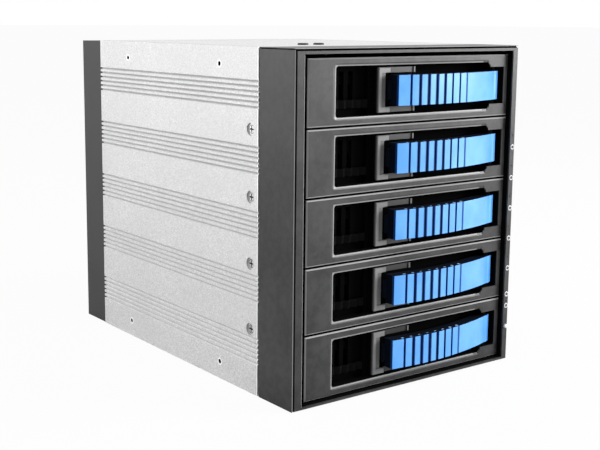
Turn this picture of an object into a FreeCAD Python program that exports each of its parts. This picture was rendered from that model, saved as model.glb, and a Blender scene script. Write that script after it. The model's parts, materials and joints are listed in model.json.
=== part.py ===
import FreeCAD, Part
import math
import os

# Hot swap drive cage for 3.5 inch drives: five trays with swinging levers in a box that fills
# four 5.25 inch bays.  Millimetres.  +X is right and +Y is back as seen from the front, +Z is up.
# The origin is under the middle of the cage, on the surface that it stands on.

V = FreeCAD.Vector

# ---- cage ----------------------------------------------------------------------------------
cage_w = 146.0            # width of a 5.25 inch bay
bezel_d = 28.4            # moulded front bezel, front to back
panel_len = 159.4         # grooved side panels, front to back
rear_d = 24.1             # rear housing, front to back
panel_t = 3.0             # side panel and bezel wall
plate_t = 2.0             # top cover and bottom plate
flange_t = 1.2            # folded edges of the top cover and bottom plate
flange_h = 14.0
rim_left = 6.1            # bezel border to the left of the opening, at its face
rim_right = 3.6           # border to the right, which carries the lamps
rim_top = 2.7
rim_bottom = 1.45
rim_edge = 0.8            # chamfer along the left side of the opening
bezel_edge_r = 0.6        # rounding of the bezel's front edge
seam_w = 1.0              # groove round the bezel's border
seam_inset = 0.3
seam_d = 1.2
seam_back = 0.5           # the same groove where it runs back along the top of the bezel's sides
shadow_w = 1.2            # rabbet between the bezel and the side panels
shadow_depth = 1.0

# ---- grooves of the side panels ----
groove_count = 6
groove_pitch = 2.45
groove_w = 1.3
groove_depth = 0.6
band_count = 5
band_pitch = 31.2         # bands spread evenly about the middle of the side

# ---- fasteners ----
m3_r = 1.5
m3_tap_r = 1.25
csk_r = 3.0
csk_sink = 0.8            # depth of a countersunk head below the surface
csk_cross_d = 1.0         # cross slots of a countersunk head
pan_r = 2.75
pan_h = 1.9
screw_fit = 0.05          # radial clearance of a screw in its hole
cross_w = 0.7
cross_reach = 0.55        # half length of a cross slot, as a share of the head's radius
cross_d = 0.55            # depth of a cross slot, as a share of the head's height
head_bevel = 0.35         # bevel round a pan head, as a share of the head's height
side_screw_setback = 6.4  # side screws behind the front edge of the panel
side_screw_bite = 6.4     # and how far they enter the divider
boss_wall = 1.5           # divider's plastic beyond the end of a side screw
side_hole_setback = 33.2  # front mounting holes behind the front edge of the panel
side_hole_span_y = 92.9
side_hole_inset = 8.9     # mounting holes from the top and bottom of the side
cover_screw_setback = 22.0
cover_screw_inset = (43.0, 53.0)    # from the cage's left side
cover_head_h = 0.95
cover_screw_len = 3.0

# ---- trays ----
tray_count = 5
tray_pitch = 32.65
tray_gap = 1.0            # between two tray fronts
tray_recess = 3.0         # tray faces behind the bezel's face
tray_side_fit = 0.4       # tray front in the opening
reveal = 3.1              # slot to the left of the tray fronts
reveal_d = 5.0            # floor of that slot behind the tray faces
slot_margin = 0.3         # space under the lowest tray front's slot
top_margin = 1.5          # and above the highest
tray_edge = 0.6           # bevel round a tray front
floor_t = 1.5             # back wall of the lever well
field_w = 16.55           # plain field to the left of the well
well_border_r = 2.9       # tray front to the right of the well
well_h = 24.0
well_corner_r = 1.5
well_edge_x = 1.9         # shallow bevel at the ends of the well
well_edge_z = 1.2         # and along its top and bottom
well_edge_d = 0.3
ear_w = 12.1              # hinge ears at the right end of the well
ear_t = 2.45
ear_slope = 1.6
ear_hollow = 0.4          # hollow curve of an ear's left end
lug_r = 2.3               # lugs that carry the pin between the ears and the lever
shell_t = 2.2             # walls of the hollow behind the plain field
vent_count = 3
vent_w = 3.0
vent_pitch = 5.6
vent_first = 3.9          # middle of the first vent from the left side of the well

# ---- lever and its pin ----
lever_h = 14.6
lever_t = 6.5
lever_r = 163.8           # radius of the curved front, seen from above
lever_crown = 4.35        # furthest point of the lever ahead of the bezel's face
pivot_from_well = 6.6     # hinge line from the right side of the well
crown_to_pivot = 50.2     # crown of the curve from the hinge line
crown_from_start = 22.3   # and from the lever's left end
knuckle_r = 3.4
knuckle_fit = 0.3         # lever clear of the lugs
knuckle_floor = 0.9       # knuckle clear of the well's back wall
pin_r = 1.5
pin_fit = 0.06            # radial running clearance of the lever on its pin
pin_hold = 1.5            # how far the pin enters the tray beyond each ear
pin_press = 0.01
grip_count = 8
grip_pitch = 5.54
grip_w = 1.4
grip_first = 7.3          # first grip groove from the lever's left end
grip_floor = 2.3          # flat floor of the grip grooves, ahead of the bezel's face
lever_wall = 1.9
lever_pockets = 3
tongue_len = 1.8          # tongue at the lever's free end, between the latch's arms
tongue_t = 1.6
tongue_h = 9.0

# ---- latch ----
latch_to_lever = 7.3      # left side of the latch from the lever's left end
latch_bar = 5.0
latch_rib = 1.8           # raised left part of the bar
latch_hollow = 1.0        # rest of the bar's front behind that rib
latch_face = 7.5          # length of the arms' front part
latch_reach = 24.3        # length of the whole arms
latch_h = 21.6
latch_arm_t = 2.6
latch_sink = 0.4          # latch behind the tray's face
latch_step = 1.5          # rear part of the arms behind the front part
latch_end_w = 1.0         # raised line across the end of each arm
latch_end_h = 0.6
latch_edge = 0.35         # bevel round the front part
latch_plate_t = 2.2
latch_plate_left = 2.5    # sliding plate beyond the latch, to its left
latch_plate_right = 11.0  # and to the right of its bar, behind the lever
latch_plate_lip = 0.9     # sliding plate beyond the well, in its guide grooves
latch_fit = 0.3
latch_travel = 4.0
spring_t = 0.4
spring_h = 4.0
spring_folds = 5
spring_drop = 6.5         # middle of the spring below the middle of the well

# ---- carrier and rails ----
drive_w = 101.6
drive_fit = 0.5
carrier_wall = 2.0
carrier_floor = 1.6
carrier_h = 21.0
carrier_rib = 7.2         # floor left round and between the carrier's windows
floor_windows = 2
head_sill = 4.0           # front wall of the carrier left round its window
carrier_slope = 10.5      # bevel at the rear top corners of the carrier
runner_t = 3.0
runner_fit = 0.3          # runner above its rail
runner_side_fit = 0.8     # runner inside the opening, and beside the rail's lip
carrier_to_board = 10.0   # rear end of the carrier ahead of the backplane
rail_drop = 5.8           # underside of a rail below its tray slot
rail_rise = 1.6           # top of a rail above the bottom of its tray slot
rail_gap = 1.7            # carrier wall to rail
rail_roof = 2.7           # top of a divider's rail, above the hollow under it
lip_h = 3.2
tray_to_rail = 3.4        # front end of the rails behind the tray fronts
rail_to_board = 8.0       # rear end of the rails ahead of the backplane
bar_drop = 2.9            # underside of a divider's front bar below its tray slot
bar_t = 2.5
bar_d = 10.0
drive_hole_from_end = 31.0
drive_hole_span = 101.6
drive_hole_z = 6.35
drive_hole_r = 1.8

# ---- lamps and button in the right border ----
lamp_r = 1.0
lamp_fit = 0.1
lamp_proud = 0.25
lamp_dark_r = 0.6
lamp_pair = 6.4           # small lamp above the large one
lamp_top = 116.0
lamp_columns = 5
status_z = (36.3, 32.6, 30.0)
button_z = 18.6
button_r = 1.1
button_travel = 0.8
lamp_board_gap = 1.2
lamp_board_fit = 0.3      # dividers clear of the lamp board
lamp_board_t = 1.6
lamp_board_end = 4.5      # board beyond the outermost lamps
lamp_wall = 0.6           # bezel wall left beside the lamp board

# ---- rear housing, backplane and fan ----
housing_inset = 0.5
housing_t = 2.0
housing_edge_r = 1.0
board_setback = 3.0       # front of the backplane behind the front of the housing
board_t = 1.6
board_fit = 1.5           # backplane inside the housing
post_r = 3.0
post_inset = 4.5
post_hole_d = 6.0
post_screw_bite = 5.5
board_vent_columns = 2
board_vent_gap = 1.1      # first column of vents from the drive connectors
board_vent_w = 19.0
board_vent_h = 17.0
board_vent_pitch = 24.0
connector_x = -20.0
connector_w = 42.0
connector_h = 6.4
connector_d = 9.0
connector_slot_w = 38.4
connector_slot_h = 2.4
connector_slot_d = 6.5
connector_key_x = 13.8    # key from the left end of the slot
connector_key_w = 1.6
connector_above_floor = 3.4
port_inset = 13.0         # ports from the left edge of the backplane
port_w = 8.4
port_h = 16.4
port_d = 12.0
port_slot_w = 2.2
port_slot_h = 11.6
port_slot_d = 8.0
port_foot_w = 2.4         # foot of the L shaped slot
port_foot_h = 1.5
power_from_port = 12.5    # power inlets from the column of ports
power_w = 11.4
power_h = 22.0
power_d = 13.0
power_wall = 1.2
power_pin_r = 0.9
power_pin_pitch = 5.08
power_pins = 4
power_pin_len = 9.75      # tips of the pins from the backplane
power_count = 3
power_span = 54.4
window_border = 3.0
fan_inset = 12.5          # fan from the right side of the housing
fan_size = 80.0
fan_d = 15.0
fan_hole_inset = 4.25
fan_corner_r = 4.0
fan_flange_t = 3.0
fan_hole_r = 2.15
duct_r = 38.0
duct_t = 1.6
hub_r = 15.0
hub_d = 11.5
hub_edge_r = 1.2
motor_r = 14.0
motor_t = 2.6
strut_w = 3.0
strut_count = 3
bearing_r = 3.0
bearing_len = 5.2
rotor_gap = 0.6           # hub behind the motor's seat
blade_count = 7
blade_gap = 0.8           # blade tips inside the duct
blade_t = 1.5
blade_root = (0.93, 38.0, 1.2)      # chord as a share of the blade's room, pitch, camber
blade_tip = (0.63, 24.0, 2.2)
shaft_r = 1.5
shaft_fit = 0.05
shaft_len = 12.8
guard_t = 1.2
guard_w = 1.8
guard_rings = 3
guard_hub_r = 9.0
guard_eye_r = 4.2
fan_screw_r = 1.9
fan_screw_len = 9.0
fan_head_r = 3.6
fan_head_t = 1.8
buzzer_r = 4.5
buzzer_h = 7.5
buzzer_edge = 0.5
buzzer_hole_r = 1.0
buzzer_hole_d = 2.0
buzzer_inset_x = 8.0      # buzzer from the right edge of the backplane
buzzer_inset_z = 14.0     # and from its lower edge

# ---- worked out from the sizes above --------------------------------------------------------
open_h = tray_count * tray_pitch + slot_margin + top_margin
cage_h = rim_bottom + open_h + rim_top
cage_d = bezel_d + panel_len + rear_d
rear_reach = guard_t + fan_head_t
front_y = lever_crown - (lever_crown + cage_d + rear_reach) / 2
panel_y = front_y + bezel_d
rear_y = panel_y + panel_len
back_y = rear_y + rear_d

half_w = cage_w / 2
inner_x = half_w - panel_t
open_x1 = half_w - rim_right
rim_x0 = -half_w + rim_left
open_x0 = rim_x0 + reveal
open_z1 = rim_bottom + open_h
tray_x0 = open_x0 + tray_side_fit
tray_x1 = open_x1 - tray_side_fit
well_x0 = tray_x0 + field_w
well_x1 = tray_x1 - well_border_r
mid_z = tray_pitch / 2                     # middle of a tray above its slot
face_y = front_y + tray_recess

pivot_x = well_x1 - pivot_from_well
crown_x = pivot_x - crown_to_pivot
lever_x0 = crown_x - crown_from_start
lever_cy = front_y - lever_crown + lever_r
pivot_y = lever_cy - math.sqrt(lever_r ** 2 - (pivot_x - crown_x) ** 2) + lever_t / 2
floor_y = pivot_y + knuckle_r + knuckle_floor
tray_back = floor_y + floor_t
latch_x0 = lever_x0 - latch_to_lever
latch_y = face_y + latch_sink
plate_x0 = latch_x0 - latch_plate_left
plate_x1 = latch_x0 + latch_bar + latch_plate_right
plate_y0 = floor_y - knuckle_fit - latch_plate_t

carrier_in = drive_w / 2 + drive_fit
carrier_out = carrier_in + carrier_wall
runner_x = -open_x0 - runner_side_fit
rail_x = carrier_out + rail_gap
board_y = rear_y + board_setback
rail_y0 = tray_back + tray_to_rail
rail_y1 = board_y - rail_to_board
carrier_z = rail_rise + runner_fit
carrier_y1 = board_y - carrier_to_board
carrier_inside = carrier_y1 - tray_back - carrier_wall
floor_window_len = (carrier_inside - (floor_windows + 1) * carrier_rib) / floor_windows
lamp_x = half_w - rim_right / 2
lamp_board_y = rail_y0 + lamp_board_gap
lamp_board_x0 = runner_x + runner_side_fit
lamp_board_x1 = half_w - lamp_wall
lamp_board_z0 = button_z - lamp_board_end
lamp_board_z1 = lamp_top + lamp_pair + lamp_board_end
wall_y = back_y - housing_t                # inner face of the rear wall
housing_half = half_w - housing_inset
housing_top = cage_h - housing_inset
board_half = housing_half - housing_t - board_fit
board_z0 = housing_t + board_fit
board_z1 = housing_top - housing_t - board_fit
port_x = -board_half + port_inset
power_x = port_x + power_from_port
fan_x = housing_half - fan_inset - fan_size / 2
fan_y = wall_y - fan_d
fan_z = cage_h / 2
fan_hole_half = fan_size / 2 - fan_hole_inset


def slot_z(n):
    """Bottom of the slot of tray n, counted from the top."""
    return rim_bottom + slot_margin + (tray_count - n) * tray_pitch


def box(x0, x1, y0, y1, z0, z1):
    return Part.makeBox(x1 - x0, y1 - y0, z1 - z0, V(x0, y0, z0))


def rod(radius, start, end):
    axis = end - start
    return Part.makeCylinder(radius, axis.Length, start, axis)


def fuse_all(first, others):
    return first.fuse(others).removeSplitter()


def prism(points, direction):
    """Closed outline of straight sides, pulled along a vector."""
    return Part.Face(Part.makePolygon(points + points[:1])).extrude(direction)


def mirror_x(shape):
    return shape.mirror(V(0, 0, 0), V(1, 0, 0))


def edges_on_plane(shape, y):
    """Edges that lie wholly in the plane across Y."""
    found = []
    for edge in shape.Edges:
        if abs(edge.BoundBox.YMin - y) < 1e-4 and abs(edge.BoundBox.YMax - y) < 1e-4:
            found.append(edge)
    return found


def rounded_box(x0, x1, y0, y1, z0, z1, radius):
    """Box whose four edges along Y are rounded."""
    block = box(x0, x1, y0, y1, z0, z1)
    long_edges = [e for e in block.Edges if abs(e.BoundBox.YLength - (y1 - y0)) < 1e-4]
    return block.makeFillet(radius, long_edges)


def pan_screw(head_r, head_h, shank_r, length, seat, direction):
    """Cross head screw: seat is the point under its head, direction is where the shank goes."""
    outward = direction * -1
    head = rod(head_r, seat, seat + outward * head_h)
    top = seat + outward * head_h
    head = head.makeChamfer(head_h * head_bevel, edges_at(head, top))
    screw = head.fuse(rod(shank_r, seat, seat + direction * length))
    return screw.cut(cross_recess(top, direction, head_r, head_h * cross_d))


def edges_at(shape, point):
    """Round edges whose centre is this point."""
    found = []
    for edge in shape.Edges:
        if isinstance(edge.Curve, Part.Circle) and (edge.Curve.Center - point).Length < 1e-4:
            found.append(edge)
    return found


def cross_recess(top, direction, head_r, depth):
    """Two crossed slots cut down into a screw head that faces away from direction."""
    side = V(0, 0, 1) if abs(direction.z) < 0.5 else V(1, 0, 0)
    other = direction.cross(side)
    bars = []
    for along, across in ((side, other), (other, side)):
        a = along * (head_r * cross_reach)
        b = across * (cross_w / 2)
        bars.append(prism([top - a - b, top + a - b, top + a + b, top - a + b], direction * depth))
    return bars[0].fuse(bars[1])


# ---- cage ----------------------------------------------------------------------------------
def lamp_heights():
    """Heights of the large and of the small lamps."""
    large = [lamp_top - i * tray_pitch / 2 for i in range(lamp_columns)]
    return large + [status_z[0], status_z[2]], [z + lamp_pair for z in large] + [status_z[1]]


def front_bezel():
    body = box(-half_w, half_w, front_y, panel_y, 0, cage_h)
    body = body.makeFillet(bezel_edge_r, edges_on_plane(body, front_y))
    reveal_y = face_y + reveal_d
    cuts = [box(rim_x0, open_x1, front_y, reveal_y, rim_bottom, open_z1),
            box(open_x0, open_x1, reveal_y, rail_y0, rim_bottom, open_z1),
            box(-inner_x, inner_x, rail_y0, panel_y, rim_bottom, open_z1),
            prism([V(rim_x0 - rim_edge, front_y, rim_bottom), V(rim_x0, front_y, rim_bottom),
                   V(rim_x0, front_y + rim_edge, rim_bottom)], V(0, 0, open_h)),
            box(-half_w, -half_w + shadow_depth, panel_y - shadow_w, panel_y, 0, cage_h),
            box(half_w - shadow_depth, half_w, panel_y - shadow_w, panel_y, 0, cage_h),
            box(open_x1, lamp_board_x1, rail_y0, lamp_board_y + lamp_board_t + lamp_board_fit,
                lamp_board_z0 - lamp_board_fit, lamp_board_z1 + lamp_board_fit)]
    seam_x = -half_w + seam_inset
    seam_z = cage_h - seam_inset
    cuts.append(box(seam_x, seam_x + seam_w, front_y, front_y + seam_d, 0, seam_z))
    cuts.append(box(seam_x, half_w, front_y, front_y + seam_d, seam_z - seam_w, seam_z))
    back_seam = box(-half_w, -half_w + seam_back, front_y, panel_y, seam_z - seam_back, seam_z)
    cuts += [back_seam, mirror_x(back_seam)]
    large, small = lamp_heights()
    for z in large:
        cuts.append(rod(lamp_r + lamp_fit, V(lamp_x, front_y, z), V(lamp_x, rail_y0, z)))
    for z in small:
        cuts.append(rod(lamp_dark_r + lamp_fit, V(lamp_x, front_y, z), V(lamp_x, rail_y0, z)))
    cuts.append(rod(button_r + lamp_fit, V(lamp_x, front_y, button_z),
                    V(lamp_x, rail_y0, button_z)))
    return body.cut(cuts)


def panel_outline():
    """Section of the left side panel, with V grooves in its outer face."""
    outer = [V(-half_w, panel_y, 0)]
    for band in range(band_count):
        middle = cage_h / 2 + (band - (band_count - 1) / 2) * band_pitch
        for i in range(groove_count):
            z = middle + (i - (groove_count - 1) / 2) * groove_pitch
            outer.append(V(-half_w, panel_y, z - groove_w / 2))
            outer.append(V(-half_w + groove_depth, panel_y, z))
            outer.append(V(-half_w, panel_y, z + groove_w / 2))
    outer.append(V(-half_w, panel_y, cage_h))
    return outer + [V(-inner_x, panel_y, cage_h), V(-inner_x, panel_y, 0)]


def side_hole_places():
    """Y and Z of the four tapped mounting holes in each side."""
    y = panel_y + side_hole_setback
    heights = (side_hole_inset, cage_h - side_hole_inset)
    return [(y + a * side_hole_span_y, z) for a in (0, 1) for z in heights]


def side_screw_places():
    """Y and Z of the countersunk screws that hold the dividers."""
    y = panel_y + side_screw_setback
    return [(y, slot_z(n) + (rail_rise - rail_drop) / 2) for n in range(1, tray_count)]


def left_side_panel():
    panel = prism(panel_outline(), V(0, panel_len, 0))
    cuts = []
    for y, z in side_hole_places():
        cuts.append(rod(m3_tap_r, V(-half_w, y, z), V(-inner_x, y, z)))
    for y, z in side_screw_places():
        cuts.append(side_screw_space(y, z, screw_fit))
    return panel.cut(cuts)


def side_screw_space(y, z, fit):
    """Countersunk head and shank from the left, grown by a clearance, with the sink above it."""
    start = V(-half_w, y, z)
    seat = V(-half_w + csk_sink, y, z)
    depth = csk_r - m3_r
    cone = Part.makeCone(csk_r + fit, m3_r + fit, depth, seat, V(1, 0, 0))
    shank_end = V(-inner_x + side_screw_bite, y, z)
    space = cone.fuse(rod(m3_r + fit, seat + V(depth, 0, 0), shank_end))
    return space.fuse(rod(csk_r + fit, start, seat))


def side_screw(y, z):
    """Countersunk cross head screw through the left panel into a divider."""
    seat = V(-half_w + csk_sink, y, z)
    depth = csk_r - m3_r
    screw = Part.makeCone(csk_r, m3_r, depth, seat, V(1, 0, 0))
    screw = screw.fuse(rod(m3_r, seat + V(depth, 0, 0), V(-inner_x + side_screw_bite, y, z)))
    return screw.cut(cross_recess(seat, V(1, 0, 0), csk_r, csk_cross_d))


def side_screws():
    left = [side_screw(y, z) for y, z in side_screw_places()]
    return Part.makeCompound(left + [mirror_x(s) for s in left])


def cover_plate():
    """Bottom plate with its two upturned edges; the top cover is the same plate turned over."""
    plate = box(-inner_x, inner_x, panel_y, rear_y, 0, plate_t)
    edge = box(-inner_x, -inner_x + flange_t, panel_y, rear_y, plate_t, plate_t + flange_h)
    plate = fuse_all(plate, [edge, mirror_x(edge)])
    holes = []
    for y, z in side_hole_places():
        if z < cage_h / 2:
            holes.append(rod(m3_tap_r, V(-half_w, y, z), V(half_w, y, z)))
    return plate.cut(holes)


def cover_screw_places():
    return [V(-half_w + inset, panel_y + cover_screw_setback, cage_h) for inset in cover_screw_inset]


def top_cover():
    cover = cover_plate().mirror(V(0, 0, cage_h / 2), V(0, 0, 1))
    return cover.cut([rod(m3_r + screw_fit, p - V(0, 0, plate_t), p) for p in cover_screw_places()])


def cover_screws():
    screws = [pan_screw(pan_r, cover_head_h, m3_r, cover_screw_len, place, V(0, 0, -1))
              for place in cover_screw_places()]
    return Part.makeCompound(screws)


def divider_rail(bottom):
    """Left rail that a tray runs on, with the lip that guides it."""
    base = box(-inner_x, -rail_x, rail_y0, rail_y1, bottom, rail_rise)
    lip = box(-inner_x, -runner_x - runner_side_fit, rail_y0, rail_y1, rail_rise, rail_rise + lip_h)
    return fuse_all(base, [lip])


def divider(n):
    """Divider under tray n: a front bar and two rails, moulded in one piece."""
    rail = divider_rail(-rail_drop)
    relief = box(-inner_x + panel_t, -rail_x - panel_t, rail_y0 + bar_d + panel_t, rail_y1 - panel_t,
                 -rail_drop, rail_rise - rail_roof)
    rail = rail.cut(relief)
    bar = box(-inner_x, inner_x, rail_y0, rail_y0 + bar_d, -bar_drop, -bar_drop + bar_t)
    body = fuse_all(rail, [mirror_x(rail), bar])
    y, z = side_screw_places()[n - 1]
    boss = box(-inner_x, -inner_x + side_screw_bite + boss_wall, y - panel_t, y + panel_t,
               -rail_drop, rail_rise)
    body = fuse_all(body, [boss, mirror_x(boss)])
    body.translate(V(0, 0, slot_z(n)))
    hole = side_screw_space(y, z, screw_fit)
    notch = box(lamp_board_x0 - lamp_board_fit, inner_x, rail_y0,
                lamp_board_y + lamp_board_t + lamp_board_fit, 0, cage_h)
    return body.cut([hole, mirror_x(hole), notch])


def floor_rails():
    """Pair of rails under the lowest tray."""
    rail = divider_rail(plate_t - slot_z(tray_count))
    rail = rail.cut(box(-inner_x, -inner_x + flange_t, rail_y0, rail_y1, -rail_drop, lip_h + rail_rise))
    rail.translate(V(0, 0, slot_z(tray_count)))
    return Part.makeCompound([rail, mirror_x(rail)])


def light_pipes():
    """Clear pipes that carry each lamp's light from the board to the border."""
    large, small = lamp_heights()
    pipes = []
    for radius, heights in ((lamp_r, large), (lamp_dark_r, small)):
        for z in heights:
            pipe = rod(radius, V(lamp_x, front_y - lamp_proud, z), V(lamp_x, lamp_board_y, z))
            front = edges_at(pipe, V(lamp_x, front_y - lamp_proud, z))
            pipes.append(pipe.makeChamfer(lamp_proud, front))
    return Part.makeCompound(pipes)


def lamp_board():
    return box(lamp_board_x0, lamp_board_x1, lamp_board_y, lamp_board_y + lamp_board_t,
               lamp_board_z0, lamp_board_z1)


def reset_button():
    start = V(lamp_x, front_y - button_travel - lamp_proud, button_z)
    back = V(lamp_x, lamp_board_y - button_travel, button_z)
    button = rod(button_r, start, back)
    return button.makeChamfer(lamp_proud, edges_at(button, start))


# ---- trays: built with the slot's bottom at Z 0, then lifted into their slots ---------------
def well_outline(y, grow_x, grow_z):
    """Rounded outline of the lever well at one depth, grown at its ends and along its sides."""
    block = rounded_box(well_x0 - grow_x, well_x1 + grow_x, y, y + floor_t,
                        mid_z - well_h / 2 - grow_z, mid_z + well_h / 2 + grow_z,
                        well_corner_r + grow_z)
    return Part.Wire(Part.__sortEdges__(edges_on_plane(block, y)))


def hinge_ear():
    """Upper ear of the hinge, flush with the tray's face, and the lug set back under it."""
    well_z1 = mid_z + well_h / 2
    ear_x0 = well_x1 - ear_w
    ear_x1 = well_x1 + well_edge_x
    ear_z0 = well_z1 - ear_t
    ear_z1 = well_z1 + well_edge_z
    middle = V(ear_x0 + ear_slope / 2 + ear_hollow, face_y, ear_z0 + ear_t / 2 + ear_hollow)
    tip = V(ear_x0 + ear_slope, face_y, ear_z0)
    hollow_end = Part.Arc(V(ear_x0, face_y, well_z1), middle, tip).toShape()
    sides = Part.makePolygon([tip, V(ear_x1, face_y, ear_z0), V(ear_x1, face_y, ear_z1),
                              V(ear_x0, face_y, ear_z1), V(ear_x0, face_y, well_z1)])
    ear = Part.Face(Part.Wire([hollow_end] + sides.Edges)).extrude(V(0, floor_y - face_y, 0))
    lug_z0 = mid_z + lever_h / 2 + knuckle_fit
    lug = rod(lug_r, V(pivot_x, pivot_y, lug_z0), V(pivot_x, pivot_y, ear_z0))
    foot = box(pivot_x - lug_r, pivot_x + lug_r, pivot_y, floor_y, lug_z0, ear_z0)
    return ear.fuse([lug, foot])


def tray_front():
    """Moulded front with the lever's well, the hinge ears and the latch's guide grooves."""
    body = box(tray_x0, tray_x1, face_y, tray_back, tray_gap / 2, tray_pitch - tray_gap / 2)
    body = body.makeChamfer(tray_edge, edges_on_plane(body, face_y))
    well_z0 = mid_z - well_h / 2
    well_z1 = mid_z + well_h / 2
    well = rounded_box(well_x0, well_x1, face_y, floor_y, well_z0, well_z1, well_corner_r)
    bevel = Part.makeLoft([well_outline(face_y, well_edge_x, well_edge_z),
                           well_outline(face_y + well_edge_d, 0, 0)], True, True)
    body = body.cut([well, bevel])
    ear = hinge_ear()
    body = fuse_all(body, [ear, ear.mirror(V(0, 0, mid_z), V(0, 0, 1))])
    guide = box(plate_x0 - latch_travel - latch_fit, plate_x1 + latch_fit,
                plate_y0 - latch_fit, floor_y,
                well_z0 - latch_plate_lip - latch_fit, well_z1 + latch_plate_lip + latch_fit)
    hollow = box(tray_x0 + shell_t, well_x0 - shell_t, face_y + shell_t, tray_back,
                 tray_gap / 2 + shell_t, tray_pitch - tray_gap / 2 - shell_t)
    pin_z = well_h / 2 + pin_hold
    hole = rod(pin_r + pin_press, V(pivot_x, pivot_y, mid_z - pin_z),
               V(pivot_x, pivot_y, tray_pitch))
    vents = []
    for i in range(vent_count):
        x = well_x0 + vent_first + vent_pitch * i
        vents.append(box(x - vent_w / 2, x + vent_w / 2, floor_y, tray_back,
                         well_z0 + vent_w, well_z1 - vent_w))
    return body.cut([guide, hollow, hole] + vents)


def lever_arc_y(x, inset=0.0):
    """Y of the lever's curved front at x, or of the same curve moved inwards."""
    return lever_cy - math.sqrt((lever_r - inset) ** 2 - (x - crown_x) ** 2)


def lever_blade():
    """Curved strip of the lever, up to the far side of its knuckle."""
    end_x = pivot_x + knuckle_r
    middle = (lever_x0 + pivot_x) / 2
    outer = Part.Arc(V(lever_x0, lever_arc_y(lever_x0), 0), V(middle, lever_arc_y(middle), 0),
                     V(end_x, lever_arc_y(end_x), 0)).toShape()
    inner = Part.Arc(V(pivot_x, lever_arc_y(pivot_x, lever_t), 0),
                     V(middle, lever_arc_y(middle, lever_t), 0),
                     V(lever_x0, lever_arc_y(lever_x0, lever_t), 0)).toShape()
    hinge_end = Part.makePolygon([outer.Vertexes[-1].Point, V(end_x, pivot_y, 0),
                                  inner.Vertexes[0].Point])
    free_end = Part.makeLine(inner.Vertexes[-1].Point, outer.Vertexes[0].Point)
    outline = Part.Wire([outer] + hinge_end.Edges + [inner, free_end])
    blade = Part.Face(outline).extrude(V(0, 0, lever_h))
    blade.translate(V(0, 0, mid_z - lever_h / 2))
    return blade


def lever():
    """Curved handle: a swept front, grip grooves, hinge knuckle and tongue."""
    knuckle = rod(knuckle_r, V(pivot_x, pivot_y, mid_z - lever_h / 2),
                  V(pivot_x, pivot_y, mid_z + lever_h / 2))
    tongue_y = lever_arc_y(lever_x0, lever_t) - tongue_t
    tongue = box(lever_x0 - tongue_len, lever_x0 + tongue_t, tongue_y, tongue_y + tongue_t,
                 mid_z - tongue_h / 2, mid_z + tongue_h / 2)
    cuts = [rod(pin_r + pin_fit, V(pivot_x, pivot_y, 0), V(pivot_x, pivot_y, tray_pitch))]
    for i in range(grip_count):
        x = lever_x0 + grip_first + i * grip_pitch
        cuts.append(box(x - grip_w / 2, x + grip_w / 2, front_y - lever_crown - grip_w,
                        front_y - grip_floor, 0, tray_pitch))
    pocket_x0 = lever_x0 + tongue_t + lever_wall
    pocket_len = (pivot_x - knuckle_r - lever_wall - pocket_x0) / lever_pockets
    behind_front = rod(lever_r - lever_wall, V(crown_x, lever_cy, 0), V(crown_x, lever_cy, tray_pitch))
    for i in range(lever_pockets):
        x = pocket_x0 + i * pocket_len
        pocket = box(x, x + pocket_len - lever_wall, front_y - grip_floor + lever_wall, tray_back,
                     mid_z - lever_h / 2 + lever_wall, mid_z + lever_h / 2 - lever_wall)
        cuts.append(pocket.common(behind_front))
    return fuse_all(lever_blade(), [knuckle, tongue]).cut(cuts)


def lever_pin():
    reach = well_h / 2 + pin_hold
    return rod(pin_r, V(pivot_x, pivot_y, mid_z - reach), V(pivot_x, pivot_y, mid_z + reach))


def latch():
    """U shaped catch round the lever's free end, on a plate that slides to the left."""
    top = mid_z + latch_h / 2
    inside = top - latch_arm_t
    rear_y0 = latch_y + latch_step
    end_x = latch_x0 + latch_reach
    bar = box(latch_x0, latch_x0 + latch_bar, latch_y, plate_y0, mid_z - latch_h / 2, top)
    arm = box(latch_x0, latch_x0 + latch_face, latch_y, plate_y0, inside, top)
    front = fuse_all(bar, [arm, arm.mirror(V(0, 0, mid_z), V(0, 0, 1))])
    front = front.makeChamfer(latch_edge, edges_on_plane(front, latch_y))
    hollow = box(latch_x0 + latch_rib, latch_x0 + latch_bar, latch_y, latch_y + latch_hollow,
                 2 * mid_z - inside, inside)
    reach = box(latch_x0, end_x, rear_y0, plate_y0, inside, top)
    end_line = box(end_x - latch_end_w, end_x, rear_y0 - latch_end_h, rear_y0, inside, top)
    rear = [reach, end_line]
    rear += [part.mirror(V(0, 0, mid_z), V(0, 0, 1)) for part in rear]
    side = well_h / 2 + latch_plate_lip
    plate = box(plate_x0, plate_x1, plate_y0, plate_y0 + latch_plate_t, mid_z - side, mid_z + side)
    return fuse_all(front.cut(hollow), rear + [plate])


def latch_spring():
    """Folded leaf spring between the left side of the well and the latch's plate."""
    length = plate_x0 - well_x0
    y0 = plate_y0 + spring_t
    y1 = plate_y0 + latch_plate_t - spring_t
    steps = spring_folds * 2
    near, far = [], []
    for i in range(steps + 1):
        x = well_x0 + i * length / steps
        y = y0 if i % 2 == 0 else y1
        near.append(V(x, y - spring_t / 2, 0))
        far.append(V(x, y + spring_t / 2, 0))
    leaf = prism(near + far[::-1], V(0, 0, spring_h))
    leaf.translate(V(0, 0, mid_z - spring_drop - spring_h / 2))
    return leaf


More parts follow.
